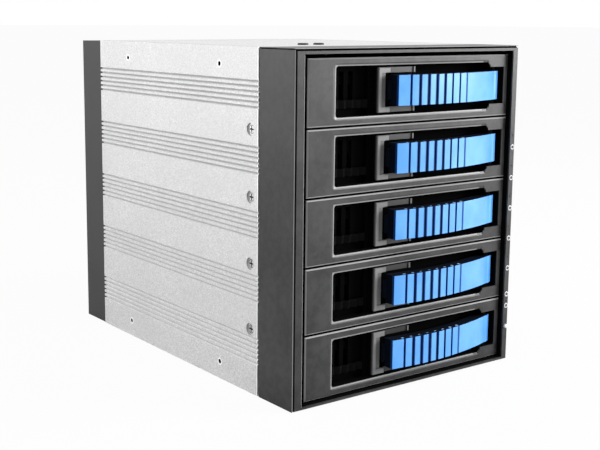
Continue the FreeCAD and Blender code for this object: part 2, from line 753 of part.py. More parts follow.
def carrier():
    """Open tray behind the front: floor, two walls and the runners outside them."""
    y0 = tray_back
    z0 = carrier_z
    floor = box(-carrier_out, carrier_out, y0, carrier_y1, z0, z0 + carrier_floor)
    wall = box(-carrier_out, -carrier_in, y0, carrier_y1, z0, z0 + carrier_h)
    runner = box(-runner_x, -carrier_out, y0, carrier_y1, z0, z0 + runner_t)
    head = box(-carrier_out, carrier_out, y0, y0 + carrier_wall, z0, z0 + carrier_h)
    body = fuse_all(floor, [wall, mirror_x(wall), runner, mirror_x(runner), head])
    cuts = []
    half = carrier_in - carrier_rib
    for i in range(floor_windows):
        y = y0 + carrier_wall + carrier_rib + i * (floor_window_len + carrier_rib)
        cuts.append(box(-half, half, y, y + floor_window_len, z0, z0 + carrier_floor))
    for offset in (0, drive_hole_span):
        y = carrier_y1 - drive_hole_from_end - offset
        z = z0 + carrier_floor + drive_hole_z
        cuts.append(rod(drive_hole_r, V(-carrier_out, y, z), V(carrier_out, y, z)))
    cuts.append(box(-half, half, y0, y0 + carrier_wall, z0 + head_sill, z0 + carrier_h - head_sill))
    end = [V(0, carrier_y1 - carrier_slope, z0 + carrier_h), V(0, carrier_y1, z0 + carrier_h),
           V(0, carrier_y1, z0 + carrier_h - carrier_slope)]
    corner = prism(end, V(2 * carrier_out, 0, 0))
    corner.translate(V(-carrier_out, 0, 0))
    cuts.append(corner)
    return body.cut(cuts)


# ---- rear ----------------------------------------------------------------------------------
def post_places():
    x = board_half - post_inset
    return [(side * x, z) for side in (-1, 1) for z in (board_z0 + post_inset, board_z1 - post_inset)]


def power_heights():
    return [fan_z + (i - (power_count - 1) / 2) * power_span for i in range(power_count)]


def connector_height(n):
    return slot_z(n) + carrier_z + carrier_floor + connector_above_floor


def port_window():
    """X and Z limits of the opening in the rear wall for the ports."""
    x0 = port_x - port_w / 2 - window_border
    x1 = power_x + power_w / 2 + window_border
    z0 = connector_height(tray_count) - window_border
    z1 = connector_height(1) + port_h + window_border
    return x0, x1, z0, z1


def rear_housing():
    body = box(-housing_half, housing_half, rear_y, back_y, 0, housing_top)
    body = body.makeFillet(housing_edge_r, edges_on_plane(body, back_y))
    inside = box(-housing_half + housing_t, housing_half - housing_t, rear_y, wall_y,
                 housing_t, housing_top - housing_t)
    body = body.cut(inside)
    posts = [rod(post_r, V(x, board_y + board_t, z), V(x, wall_y, z)) for x, z in post_places()]
    body = fuse_all(body, posts)
    x0, x1, z0, z1 = port_window()
    cuts = [rounded_box(x0, x1, wall_y, back_y, z0, z1, housing_t)]
    cuts.append(rod(duct_r, V(fan_x, wall_y, fan_z), V(fan_x, back_y, fan_z)))
    for x, z in fan_hole_places():
        cuts.append(rod(fan_screw_r + screw_fit, V(x, wall_y, z), V(x, back_y, z)))
    for x, z in post_places():
        cuts.append(rod(m3_r + screw_fit, V(x, board_y, z), V(x, board_y + board_t + post_hole_d, z)))
    return body.cut(cuts)


def backplane():
    board = box(-board_half, board_half, board_y, board_y + board_t, board_z0, board_z1)
    cuts = []
    for x, z in post_places():
        cuts.append(rod(m3_r + screw_fit, V(x, board_y, z), V(x, board_y + board_t, z)))
    vent_x = connector_x + connector_w / 2 + board_vent_gap + board_vent_w / 2
    for n in range(1, tray_count + 1):
        z = slot_z(n) + mid_z
        for i in range(board_vent_columns):
            x = vent_x + i * board_vent_pitch
            cuts.append(box(x - board_vent_w / 2, x + board_vent_w / 2, board_y, board_y + board_t,
                            z - board_vent_h / 2, z + board_vent_h / 2))
    return board.cut(cuts)


def backplane_screws():
    length = board_t + post_screw_bite
    return Part.makeCompound([pan_screw(pan_r, pan_h, m3_r, length, V(x, board_y, z), V(0, 1, 0))
                              for x, z in post_places()])


def drive_connector(n):
    """Receptacle that the drive in tray n plugs into."""
    z = connector_height(n)
    x = connector_x
    body = box(x - connector_w / 2, x + connector_w / 2, board_y - connector_d, board_y,
               z - connector_h / 2, z + connector_h / 2)
    slot = box(x - connector_slot_w / 2, x + connector_slot_w / 2, board_y - connector_d,
               board_y - connector_d + connector_slot_d,
               z - connector_slot_h / 2, z + connector_slot_h / 2)
    key_x = x - connector_slot_w / 2 + connector_key_x
    key = box(key_x - connector_key_w / 2, key_x + connector_key_w / 2,
              board_y - connector_d, board_y - connector_d + connector_slot_d,
              z - connector_slot_h / 2, z + connector_slot_h / 2)
    return body.cut(slot).fuse(key).removeSplitter()


def drive_connectors():
    return Part.makeCompound([drive_connector(n) for n in range(1, tray_count + 1)])


def data_port(n):
    """Upright port with an L shaped slot, one for each tray."""
    y0 = board_y + board_t
    z = connector_height(n)
    x = port_x
    body = box(x - port_w / 2, x + port_w / 2, y0, y0 + port_d, z, z + port_h)
    slot_z0 = z + (port_h - port_slot_h) / 2
    slot = box(x - port_slot_w / 2, x + port_slot_w / 2, y0 + port_d - port_slot_d, y0 + port_d,
               slot_z0, slot_z0 + port_slot_h)
    foot = box(x, x + port_foot_w, y0 + port_d - port_slot_d, y0 + port_d,
               slot_z0, slot_z0 + port_foot_h)
    return body.cut([slot, foot])


def data_ports():
    return Part.makeCompound([data_port(n) for n in range(1, tray_count + 1)])


def power_port(z):
    """Four pin power inlet: an open shell with its pins."""
    y0 = board_y + board_t
    x = power_x
    shell = box(x - power_w / 2, x + power_w / 2, y0, y0 + power_d, z - power_h / 2, z + power_h / 2)
    inside = box(x - power_w / 2 + power_wall, x + power_w / 2 - power_wall,
                 y0 + power_wall * 2, y0 + power_d,
                 z - power_h / 2 + power_wall, z + power_h / 2 - power_wall)
    shell = shell.cut(inside)
    for i in range(power_pins):
        pin_z = z + (i - (power_pins - 1) / 2) * power_pin_pitch
        pin = rod(power_pin_r, V(x, y0 + power_wall, pin_z), V(x, y0 + power_pin_len, pin_z))
        shell = shell.fuse(pin)
    return shell.removeSplitter()


def power_ports():
    return Part.makeCompound([power_port(z) for z in power_heights()])


def buzzer():
    """Alarm sounder on the front of the backplane, beside the lowest connector."""
    x = board_half - buzzer_inset_x
    z = board_z0 + buzzer_inset_z
    start = V(x, board_y, z)
    end = V(x, board_y - buzzer_h, z)
    can = rod(buzzer_r, start, end)
    can = can.makeChamfer(buzzer_edge, edges_at(can, end))
    return can.cut(rod(buzzer_hole_r, end, end + V(0, buzzer_hole_d, 0)))


# ---- fan -----------------------------------------------------------------------------------
def fan_hole_places():
    return [(fan_x + a * fan_hole_half, fan_z + b * fan_hole_half) for a in (-1, 1) for b in (-1, 1)]


def fan_frame():
    """Square frame: two flanges, the duct between them, the motor's seat and its struts."""
    s = fan_size / 2
    axis0 = V(fan_x, fan_y, fan_z)
    y1 = fan_y + fan_d
    front = rounded_box(fan_x - s, fan_x + s, fan_y, fan_y + fan_flange_t, fan_z - s, fan_z + s,
                        fan_corner_r)
    rear = front.copy()
    rear.translate(V(0, fan_d - fan_flange_t, 0))
    tube = rod(duct_r + duct_t, axis0, V(fan_x, y1, fan_z))
    body = fuse_all(front, [rear, tube])
    cuts = [rod(duct_r, axis0, V(fan_x, y1, fan_z))]
    for x, z in fan_hole_places():
        cuts.append(rod(fan_hole_r, V(x, fan_y, z), V(x, y1, z)))
    body = body.cut(cuts)
    seat = rod(motor_r, axis0, axis0 + V(0, motor_t, 0))
    struts = []
    for i in range(strut_count):
        strut = box(-strut_w / 2, strut_w / 2, 0, motor_t, motor_r / 2, duct_r + duct_t / 2)
        strut.rotate(V(0, 0, 0), V(0, 1, 0), 90 + i * 360 / strut_count)
        strut.translate(axis0)
        struts.append(strut)
    bearing = rod(bearing_r, axis0, axis0 + V(0, bearing_len, 0))
    body = fuse_all(body, [seat, bearing] + struts)
    return body.cut(rod(shaft_r + shaft_fit, axis0, axis0 + V(0, bearing_len, 0)))


def blade_section(radius, share, pitch, camber):
    """Curved strip, thin and closed, standing at a radius from the fan's axis."""
    c = math.cos(math.radians(pitch))
    s = math.sin(math.radians(pitch))
    h = share * math.pi * radius / blade_count

    def place(along, out):
        return V(along * c - out * s, along * s + out * c, radius)

    outer = Part.Arc(place(-h, 0), place(0, camber + blade_t), place(h, 0)).toShape()
    inner = Part.Arc(place(h, 0), place(0, camber), place(-h, 0)).toShape()
    return Part.Wire([outer, inner])


def fan_rotor():
    """Cup hub, shaft and twisted blades, lofted from root to tip and trimmed round."""
    hub = rod(hub_r, V(0, 0, 0), V(0, hub_d, 0))
    hub = hub.makeFillet(hub_edge_r, edges_at(hub, V(0, hub_d, 0)))
    root_r = hub_r - blade_t / 2
    tip_r = duct_r - blade_gap
    hub = hub.cut(rod(hub_r - blade_t, V(0, 0, 0), V(0, hub_d - blade_t, 0)))
    shaft_end = V(0, hub_d - blade_t / 2, 0)
    shaft = rod(shaft_r, shaft_end - V(0, shaft_len, 0), shaft_end)
    keep = rod(tip_r, V(0, 0, 0), V(0, hub_d, 0)).cut(rod(root_r, V(0, 0, 0), V(0, hub_d, 0)))
    blades = []
    for i in range(blade_count):
        blade = Part.makeLoft([blade_section(root_r, *blade_root), blade_section(tip_r, *blade_tip)],
                              True, True)
        blade.rotate(V(0, 0, 0), V(0, 1, 0), 360 / blade_count * i)
        blade.translate(V(0, hub_d / 2, 0))
        blades.append(blade.common(keep))
    wheel = hub.fuse(blades + [shaft])
    wheel.translate(V(fan_x, fan_y + motor_t + rotor_gap, fan_z))
    return wheel


def fan_guard():
    """Stamped finger guard: rings joined by two crossed arms, with an eye for each screw."""
    start = V(fan_x, back_y, fan_z)
    end = start + V(0, guard_t, 0)
    parts = [rod(guard_hub_r, start, end)]
    step = (duct_r - guard_hub_r) / guard_rings
    for i in range(1, guard_rings + 1):
        r = guard_hub_r + i * step
        ring = rod(r + guard_w / 2, start, end).cut(rod(r - guard_w / 2, start, end))
        parts.append(ring)
    reach = fan_hole_half * math.sqrt(2)
    for angle in (45, 135):
        arm = box(-reach, reach, 0, guard_t, -guard_w / 2, guard_w / 2)
        arm.rotate(V(0, 0, 0), V(0, 1, 0), angle)
        arm.translate(start)
        parts.append(arm)
    for x, z in fan_hole_places():
        parts.append(rod(guard_eye_r, V(x, back_y, z), V(x, back_y + guard_t, z)))
    body = fuse_all(parts[0], parts[1:])
    holes = [rod(fan_screw_r + screw_fit, V(x, back_y, z), V(x, back_y + guard_t, z))
             for x, z in fan_hole_places()]
    return body.cut(holes)


def fan_screws():
    seat_y = back_y + guard_t
    return Part.makeCompound([pan_screw(fan_head_r, fan_head_t, fan_screw_r, fan_screw_len,
                                        V(x, seat_y, z), V(0, -1, 0)) for x, z in fan_hole_places()])


# ---- write every node ----------------------------------------------------------------------
def save(node, shape):
    shape.exportStep("parts/" + node + ".step")
    print(node, len(shape.Solids), "solid(s)", round(sum(s.Volume for s in shape.Solids)))


os.makedirs("parts", exist_ok=True)

panel = left_side_panel()
save("front_bezel", front_bezel())
save("left_side_panel", panel)
save("right_side_panel", mirror_x(panel))
save("top_cover", top_cover())
save("bottom_plate", cover_plate())
save("side_screws", side_screws())
save("cover_screws", cover_screws())
save("floor_rails", floor_rails())
for number in range(1, tray_count):
    save("divider_%d" % number, divider(number))
save("light_pipes", light_pipes())
save("lamp_board", lamp_board())
save("reset_button", reset_button())
save("rear_housing", rear_housing())
save("backplane", backplane())
save("backplane_screws", backplane_screws())
save("drive_connectors", drive_connectors())
save("data_ports", data_ports())
save("power_ports", power_ports())
save("buzzer", buzzer())
save("fan_frame", fan_frame())
save("fan_rotor", fan_rotor())
save("fan_guard", fan_guard())
save("fan_screws", fan_screws())

tray_pieces = {"front": tray_front(), "carrier": carrier(), "lever": lever(),
               "lever_pin": lever_pin(), "latch": latch(), "latch_spring": latch_spring()}
for number in range(1, tray_count + 1):
    for name, shape in tray_pieces.items():
        lifted = shape.copy()
        lifted.translate(V(0, 0, slot_z(number)))
        save("tray_%d_%s" % (number, name), lifted)
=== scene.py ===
# %% [markdown]
# # Hot swap drive cage
# This lesson dresses the imported solids of a drive cage: finishes, small details, a camera and lamps.

# %% Load the imported solids
import json
import math

import bmesh
import bpy
from mathutils import Matrix, Vector

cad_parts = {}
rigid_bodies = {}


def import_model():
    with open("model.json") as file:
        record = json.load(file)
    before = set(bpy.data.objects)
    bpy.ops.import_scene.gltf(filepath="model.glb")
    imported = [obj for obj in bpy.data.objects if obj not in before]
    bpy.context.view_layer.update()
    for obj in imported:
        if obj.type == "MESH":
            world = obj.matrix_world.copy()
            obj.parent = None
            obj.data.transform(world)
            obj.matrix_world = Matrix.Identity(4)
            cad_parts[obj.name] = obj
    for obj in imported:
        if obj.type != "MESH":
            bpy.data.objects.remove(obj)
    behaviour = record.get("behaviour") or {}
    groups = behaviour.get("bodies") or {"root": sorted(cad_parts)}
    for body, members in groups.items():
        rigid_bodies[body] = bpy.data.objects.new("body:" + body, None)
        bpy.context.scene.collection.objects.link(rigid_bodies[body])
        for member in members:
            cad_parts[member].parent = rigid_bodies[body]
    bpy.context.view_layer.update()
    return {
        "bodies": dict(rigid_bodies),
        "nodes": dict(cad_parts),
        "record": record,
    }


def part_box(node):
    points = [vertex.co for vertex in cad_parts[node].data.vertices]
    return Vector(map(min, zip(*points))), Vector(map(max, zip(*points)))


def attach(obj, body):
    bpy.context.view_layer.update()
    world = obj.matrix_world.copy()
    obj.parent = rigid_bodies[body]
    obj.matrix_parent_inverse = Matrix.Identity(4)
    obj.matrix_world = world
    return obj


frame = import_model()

mm = 0.001

# %% [markdown]
# Shader maths reads best as ordinary expressions.
# Socket wraps one output socket, and its operators add Math nodes, so 1 - mask is a line of Python.
# ramp is the workhorse of every mask below: 0 under a low value, 1 over a high one, smooth between.


# %% Shader maths as expressions
class Socket:
    def __init__(self, maker, out):
        self.maker = maker
        self.out = out

    def math(self, operation, *others):
        values = {i: value for i, value in enumerate((self,) + others)}
        return self.maker.node("ShaderNodeMath", {"operation": operation}, values)

    def __add__(self, other):
        return self.math("ADD", other)

    def __sub__(self, other):
        return self.math("SUBTRACT", other)

    def __mul__(self, other):
        return self.math("MULTIPLY", other)

    def __rsub__(self, other):
        return self.maker.node("ShaderNodeMath", {"operation": "SUBTRACT"}, {0: other, 1: self})

    __radd__ = __add__
    __rmul__ = __mul__

    def size(self):
        return self.math("ABSOLUTE")

    def ramp(self, low, high):
        values = {"Value": self, "From Min": low, "From Max": high}
        return self.maker.node("ShaderNodeMapRange", {"interpolation_type": "SMOOTHSTEP"}, values)


print("socket operators: + - * size ramp")

# %% [markdown]
# A Maker holds one material and adds nodes to it.
# Every node goes through one method: its kind, its settings, then the values or links of its sockets.
# Patterns read Object coordinates, which stay with a piece when its body slides or turns.


# %% A maker of materials
class Maker:
    def __init__(self, name):
        self.material = bpy.data.materials.new(name)
        self.material.use_nodes = True
        self.tree = self.material.node_tree
        self.shader = self.tree.nodes["Principled BSDF"]
        self.place = self.node("ShaderNodeTexCoord", {}, {}, "Object")
        self.x, self.y, self.z = self.split(self.place)

    def node(self, kind, settings, values, output=0):
        made = self.tree.nodes.new(kind)
        for name, value in settings.items():
            setattr(made, name, value)
        for name, value in values.items():
            self.feed(made.inputs[name], value)
        return Socket(self, made.outputs[output])

    def feed(self, socket, value):
        if isinstance(value, Socket):
            self.tree.links.new(value.out, socket)
        else:
            socket.default_value = value

    def split(self, vector):
        parts = self.node("ShaderNodeSeparateXYZ", {}, {0: vector}).out.node
        return [Socket(self, parts.outputs[i]) for i in range(3)]

    def noise(self, scale, detail=2.0, place=None):
        values = {"Vector": place or self.place, "Scale": scale, "Detail": detail}
        return self.node("ShaderNodeTexNoise", {}, values, "Fac")

    def grains(self, scale):
        """Cells of a fine grain, each with its own value from 0 to 1."""
        cells = self.node("ShaderNodeTexVoronoi", {}, {"Vector": self.place, "Scale": scale}, "Color")
        return self.split(cells)[0]

    def mix(self, factor, first, second):
        values = {"Factor": factor, 6: first, 7: second}
        return self.node("ShaderNodeMix", {"data_type": "RGBA"}, values, 2)

    def bump(self, height, distance, strength=1.0):
        values = {"Height": height, "Distance": distance, "Strength": strength}
        return self.node("ShaderNodeBump", {}, values)

    def bevels(self):
        """1 on faces that are turned between two axes, as chamfers and rounded edges are."""
        facing = self.split(self.node("ShaderNodeTexCoord", {}, {}, "Normal"))
        across = facing[0].size().math("MAXIMUM", facing[1].size())
        flat = across.math("MAXIMUM", facing[2].size())
        return 1 - flat.ramp(0.8, 0.995)

    def finish(self, **values):
        """Set or link the shader's own sockets, named with _ for a space."""
        for name, value in values.items():
            self.feed(self.shader.inputs[name.replace("_", " ")], value)
        return self.material

    def shade(self, factor):
        """Blend to a matt black: painted shade for a deep place."""
        black = self.tree.nodes.new("ShaderNodeBsdfPrincipled")
        self.feed(black.inputs["Base Color"], grey(0.002))
        self.feed(black.inputs["Roughness"], 0.9)
        self.feed(black.inputs["Specular IOR Level"], 0.03)
        values = {0: factor, 1: Socket(self, self.shader.outputs[0]), 2: Socket(self, black.outputs[0])}
        blend = self.node("ShaderNodeMixShader", {}, values)
        self.tree.links.new(blend.out, self.tree.nodes["Material Output"].inputs["Surface"])


def grey(value):
    return (value, value, value, 1.0)


def tint(red, green, blue):
    return (red, green, blue, 1.0)


print("maker ready")

# %% [markdown]
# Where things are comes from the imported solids, never from guesses.
# The bezel gives the cage's width and front, a tray front gives the depth of the tray faces, and the
# lever's box gives the arc that its front follows.

# %% Places read from the solids
bezel_low, bezel_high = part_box("front_bezel")
tray_low, tray_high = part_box("tray_1_front")
panel_low, panel_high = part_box("left_side_panel")
lever_low, lever_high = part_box("tray_1_lever")
latch_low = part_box("tray_1_latch")[0]
half_w = bezel_high.x
half_h = bezel_high.z / 2
front_y = bezel_low.y
face_y = tray_low.y
pin_low, pin_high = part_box("tray_1_lever_pin")
pitch = tray_low.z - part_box("tray_2_front")[0].z
tray_mid = (tray_low.z + tray_high.z) / 2
well_x0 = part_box("tray_1_latch_spring")[0].x
well_x1 = tray_high.x - 2.9 * mm
well_half = (pin_high.z - pin_low.z) / 2 - 1.5 * mm
slots = {part["node"]: part["material_slot"] for part in frame["record"]["subparts"]}
trays = sorted(body for body in frame["bodies"] if body.startswith("tray_") and body.count("_") == 1)
print("bezel front", round(front_y / mm, 2), "tray faces", round(face_y / mm, 2), "trays", len(trays))

# %% [markdown]
# The bezel and the tray fronts are moulded in charcoal plastic with a fine spark-eroded grain.
# Chamfers and rounded edges are painted lighter as a highlight, and are a little smoother.
# The wells and gaps are deep, so the shader turns to a matt black a little behind the tray faces: painted
# shade.


# %% Charcoal plastic
def charcoal(name, deep, edge_highlight=None):
    m = Maker(name)
    grain = m.noise(5200.0)
    cloud = m.noise(45.0, 4.0)
    bevel_highlight = m.bevels()
    patch = m.noise(260.0, 6.0)
    mottle = cloud.ramp(0.35, 0.65) * 0.6 + patch.ramp(0.4, 0.6) * 0.4
    plain = m.mix(mottle, grey(0.012), grey(0.038))
    plain = m.mix(grain.ramp(0.35, 0.75) * 0.4, plain, grey(0.06))
    rough = 0.34 + cloud * 0.1 - bevel_highlight * 0.1
    # Painted highlight: chamfers and rounded edges are painted lighter.
    colour = m.mix(bevel_highlight * 0.9, plain, grey(0.42))
    if edge_highlight is not None:
        # Painted highlight along the rim of the lever's well.
        colour = m.mix(edge_highlight(m), colour, grey(0.28))
    m.finish(Base_Color=colour, Roughness=rough, Specular_IOR_Level=0.38,
             Normal=m.bump(grain, 0.02 * mm))
    m.shade(deep(m))
    return m.material


# Painted shade: the wells and gaps turn black a little behind the tray faces.
def behind_tray_face(m):
    return (m.y - face_y).ramp(0.45 * mm, 0.95 * mm)


def height_in_tray(m):
    """Height above the middle of whichever tray a point belongs to."""
    return (m.z - tray_mid).math("WRAP", pitch / 2, -pitch / 2)


def inside_bezel(m):
    """Deep places of the bezel, but not its outer sides, for painted shade."""
    side = (half_w - m.x.size()).ramp(0.08 * mm, 0.3 * mm)
    middle = (bezel_high.z + bezel_low.z) / 2
    level = ((bezel_high.z - bezel_low.z) / 2 - (m.z - middle).size()).ramp(0.08 * mm, 0.3 * mm)
    return (m.y - front_y).ramp(0.7 * mm, 1.1 * mm) * side * level


def well_rim_highlight(m):
    """Narrow band along the rim of the lever's well, painted lighter as a highlight."""
    middle = (well_x0 + well_x1) / 2
    out_x = (m.x - middle).size() - (well_x1 - well_x0) / 2
    out_z = height_in_tray(m).size() - well_half
    out = out_x.math("MAXIMUM", out_z)
    at_hinge = (m.x - pin_low.x + 8.0 * mm).ramp(0.0, 1.0 * mm)
    return (1 - out.ramp(0.4 * mm, 0.75 * mm)) * (1 - at_hinge)


bezel_finish = charcoal("charcoal_bezel", inside_bezel)
tray_finish = charcoal("charcoal_tray", behind_tray_face, well_rim_highlight)
print("charcoal plastic: bezel and tray fronts")

# %% [markdown]
# The side panels are extruded aluminium, bead blasted and clear anodised: a soft satin metal that
# sparkles finely, because each bead left a dimple that catches the light on its own.
# The colour darkens with depth below the outer face, a painted shade in the V grooves.
# Inner faces are painted dark, a painted shade which keeps stray light out of the gaps between the trays.
# Around each tapped hole a narrow bright ring is a painted highlight over a hole wall painted as shade,
# and a bright band along the sawn front edge is a painted highlight.


# %% Anodised aluminium
def blasted(name, outer=None, holes=()):
    m = Maker(name)
    bead = m.grains(2600.0)
    fine = m.noise(5200.0)
    cloud = m.noise(22.0, 3.0)
    base = m.mix(bead.ramp(0.0, 1.0), grey(0.50), grey(0.74))
    base = m.mix(cloud.ramp(0.3, 0.7) * 0.3, base, grey(0.54))
    rough = 0.5 + bead * 0.16
    if outer is not None:
        depth = outer - m.x.size()
        # Painted shade: darker with depth in the V grooves.
        base = m.mix(depth.ramp(0.2 * mm, 0.7 * mm), base, grey(0.46))
        # Painted highlight: a narrow band along the panel's front edge is painted bright.
        front_edge_highlight = 1 - (m.y - panel_low.y).ramp(0.3 * mm, 0.6 * mm)
        base = m.mix(front_edge_highlight, base, grey(0.95))
        # Painted shade: the grooves are painted black where they end at the rear of the panel.
        at_end = (m.y - panel_high.y + 1.4 * mm).ramp(0.0, 0.3 * mm)
        groove_end_shade = at_end * depth.ramp(0.15 * mm, 0.3 * mm)
        base = m.mix(groove_end_shade, base, grey(0.04))
        # Painted shade: the panel's inner face is painted dark.
        thick = panel_high.x - panel_low.x
        base = m.mix(depth.ramp(thick - 0.4 * mm, thick - 0.1 * mm), base, grey(0.03))
    else:
        # Painted shade: the inner faces of the cover and the bottom plate are painted dark.
        level = half_h - (m.z - half_h).size()
        base = m.mix(level.ramp(1.0 * mm, 1.4 * mm), base, grey(0.03))
    for pattern in holes:
        middle = pattern["pos_m"]
        span = pattern["dims"]
        along = (m.y - middle[1]).size() - span["spacing_x_mm"] * mm / 2
        up = (m.z - middle[2]).size() - span["spacing_y_mm"] * mm / 2
        away = (along * along + up * up).math("SQRT")
        # Painted highlight round each tapped hole, with painted shade on the hole's wall.
        rim = 1 - (away - span["hole_r_mm"] * mm).ramp(0.45 * mm, 0.8 * mm)
        base = m.mix(rim, base, m.mix(depth.ramp(0.2 * mm, 0.5 * mm), grey(0.95), grey(0.02)))
    return m.finish(Base_Color=base, Roughness=rough, Metallic=0.88,
                    Normal=m.bump(bead + fine, 0.02 * mm))


patterns = [mount for mount in frame["record"]["mounts"] if mount["kind"] == "bolt_pattern"]
side_finish = blasted("anodised_side", half_w, patterns[:1])
plate_finish = blasted("anodised_plate")
print("aluminium: grooves within", round((panel_high.x - panel_low.x) / mm, 1), "mm of panel")

# %% [markdown]
# The lever is bright blue ABS with a satin front. Its grip grooves are painted navy and its ends, sides
# and upper and lower faces near black, all painted shade. Its front is part of a cylinder whose axis
# stands behind the cage, so one distance tells front from groove: where a point is nearer to the axis than
# the front is, the colour sinks to navy. Small pale spots where the grooves meet the lever's upper and
# lower edges are painted highlights.

# %% Blue lever
lever_r = 163.8 * mm
axis_x = lever_high.x - 53.6 * mm
axis_y = lever_low.y + lever_r
grip_pitch = 5.54 * mm
grip_middle = 1.62 * mm     # one groove's distance from the axis; the rest lie a whole pitch apart
grips_middle = 4.39 * mm    # middle of the whole row of grooves
grips_half = 20.6 * mm


def lever_blue():
    m = Maker("blue_lever")
    cloud = m.noise(70.0, 3.0)
    grain = m.noise(4200.0)
    side = m.x - axis_x
    back = m.y - axis_y
    reach = (side * side + back * back).math("SQRT")
    depth = lever_r - reach
    beside = (side - grip_middle).math("WRAP", grip_pitch / 2, -grip_pitch / 2).size()
    # The painted groove shade spreads past the groove edges, most towards the middle of the row.
    bite = 1 - ((side + 1.0 * mm) * (side + 1.0 * mm) * 3200.0).ramp(0.0, 1.0)
    within = 1 - (side - grips_middle).size().ramp(grips_half, grips_half + 0.2 * mm)
    grip = (1 - (beside - bite * 0.85 * mm).ramp(0.3 * mm, 0.42 * mm)) * within
    groove_shade = depth.ramp(0.1 * mm, 0.35 * mm).math("MAXIMUM", grip)
    flat = m.split(m.node("ShaderNodeTexCoord", {}, {}, "Normal"))[2].size().ramp(0.6, 0.9)
    faces_in_shade = flat.math("MAXIMUM", depth.ramp(1.3 * mm, 1.8 * mm))
    face = m.mix(cloud.ramp(0.35, 0.65), tint(0.085, 0.345, 0.93), tint(0.12, 0.41, 0.98))
    # Painted shade: grooves and the parts just behind the front turn navy.
    colour = m.mix(groove_shade, face, tint(0.0, 0.035, 0.19))
    # Painted shade: upper and lower faces and deeper parts turn near black and blend to matt black.
    colour = m.mix(faces_in_shade, colour, tint(0.0, 0.006, 0.035))
    # Painted highlight: pale spots where each groove meets the upper and lower faces.
    behind = depth.ramp(0.7 * mm, 0.9 * mm) * (1 - depth.ramp(2.3 * mm, 2.6 * mm))
    groove_end_glint = flat * behind * within * (1 - beside.ramp(0.55 * mm, 0.85 * mm))
    colour = m.mix(groove_end_glint, colour, tint(0.45, 0.68, 0.95))
    dull = groove_shade.math("MAXIMUM", faces_in_shade)
    rough = 0.3 + cloud * 0.06 + dull * 0.25
    m.finish(Base_Color=colour, Roughness=rough, Coat_Weight=0.6 - dull * 0.6, Coat_Roughness=0.2,
             Specular_Tint=tint(0.6, 0.92, 1.0), Normal=m.bump(grain, 0.004 * mm))
    m.shade(faces_in_shade * (0.8 - groove_end_glint * 0.8))
    return m.material


print("lever axis at", round(axis_x / mm, 1), round(axis_y / mm, 1))

# %% [markdown]
# The latch is a mid grey moulding, and its front frame keeps that plain grey.
# Its inner step lies about a millimetre back and the long arms lie deeper, in the shade of the well,
# so the colour is painted darker with the distance behind the latch's own front: painted shade.


# %% Grey latch
def latch_grey():
    m = Maker("grey_latch")
    grain = m.noise(4200.0)
    cloud = m.noise(90.0, 3.0)
    depth = m.y - latch_low.y
    colour = m.mix(cloud.ramp(0.3, 0.7), grey(0.165), grey(0.225))
    # Painted shade: the colour darkens with distance behind the latch's front.
    colour = m.mix(depth.ramp(0.3 * mm, 0.6 * mm), colour, grey(0.13))
    colour = m.mix(depth.ramp(1.1 * mm, 1.4 * mm), colour, grey(0.02))
    m.finish(Base_Color=colour, Roughness=0.42 + cloud * 0.08, Normal=m.bump(grain, 0.015 * mm))
    m.shade(depth.ramp(1.6 * mm, 2.2 * mm))
    return m.material


# %% [markdown]
# The hidden mouldings are matt black nylon and ABS. A light grain and a faint cloudiness keep large
# walls from looking painted. One helper serves them all, with the values that differ.
# The latch spring and the front end of a carrier stand in the well, and both are blended to near black as
# painted shade.


# %% Plain mouldings
def moulded(name, dark, light, roughness, grain=3800.0, edge_highlight=None, deep=None):
    m = Maker(name)
    fine = m.noise(grain)
    cloud = m.noise(38.0, 4.0)
    colour = m.mix(cloud.ramp(0.3, 0.7), dark, light)
    if edge_highlight is not None:
        # Painted highlight: chamfers and rounded edges are painted lighter.
        colour = m.mix(m.bevels() * 0.6, colour, edge_highlight)
    m.finish(Base_Color=colour, Roughness=roughness - 0.05 + cloud * 0.1,
             Normal=m.bump(fine, 0.02 * mm))
    if deep is not None:
        m.shade(deep(m))
    return m.material


def spring_in_shade():
    """Blued spring steel deep in the well, blended almost wholly to matt black as painted shade."""
    m = Maker("blued_spring_in_shade")
    cloud = m.noise(300.0)
    m.finish(Base_Color=m.mix(cloud, grey(0.01), grey(0.03)), Roughness=0.5)
    m.shade(0.88 + cloud * 0.1)
    return m.material


# Painted shade over the front end of each carrier, which stands in the well.
def near_tray_front(m):
    return 1 - (m.y - tray_high.y).ramp(14.0 * mm, 20.0 * mm)


print("plain mouldings ready")

# %% [markdown]
# Screws and the hinge pins are steel. A zinc plated head is slightly cloudy, with a dark ring of painted
# shade round its middle, and its driver slots are painted dark as shade because they are deep.
# The countersunk screws lie along X, so the depth below their heads is a distance from the cage's side.


# %% Screw steel
def plated(name, base, roughness, head_x=None):
    m = Maker(name)
    cloud = m.noise(900.0, 3.0)
    fine = m.noise(6000.0)
    colour = m.mix(cloud.ramp(0.3, 0.7), grey(base * 0.8), grey(base))
    if head_x is not None:
        # Painted shade: dark driver slots and a dark ring round the head's middle.
        slot_shade = (head_x - m.x.size()).ramp(0.1 * mm, 0.3 * mm)
        along = m.y - (screw_low.y + screw_high.y) / 2
        up = (m.z - screw_low.z - screw_r).math("WRAP", pitch / 2, -pitch / 2)
        away = (along * along + up * up).math("SQRT")
        ring_shade = 1 - (away - screw_r * 0.68).size().ramp(0.1 * mm, 0.3 * mm)
        colour = m.mix(slot_shade.math("MAXIMUM", ring_shade * 0.75), colour, grey(0.03))
    return m.finish(Base_Color=colour, Roughness=roughness + cloud * 0.1, Metallic=0.95,
                    Normal=m.bump(fine, 0.006 * mm))


screw_low, screw_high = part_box("side_screws")
screw_r = (screw_high.y - screw_low.y) / 2
print("side screw heads", round((half_w - screw_high.x) / mm, 2), "mm below the sides")

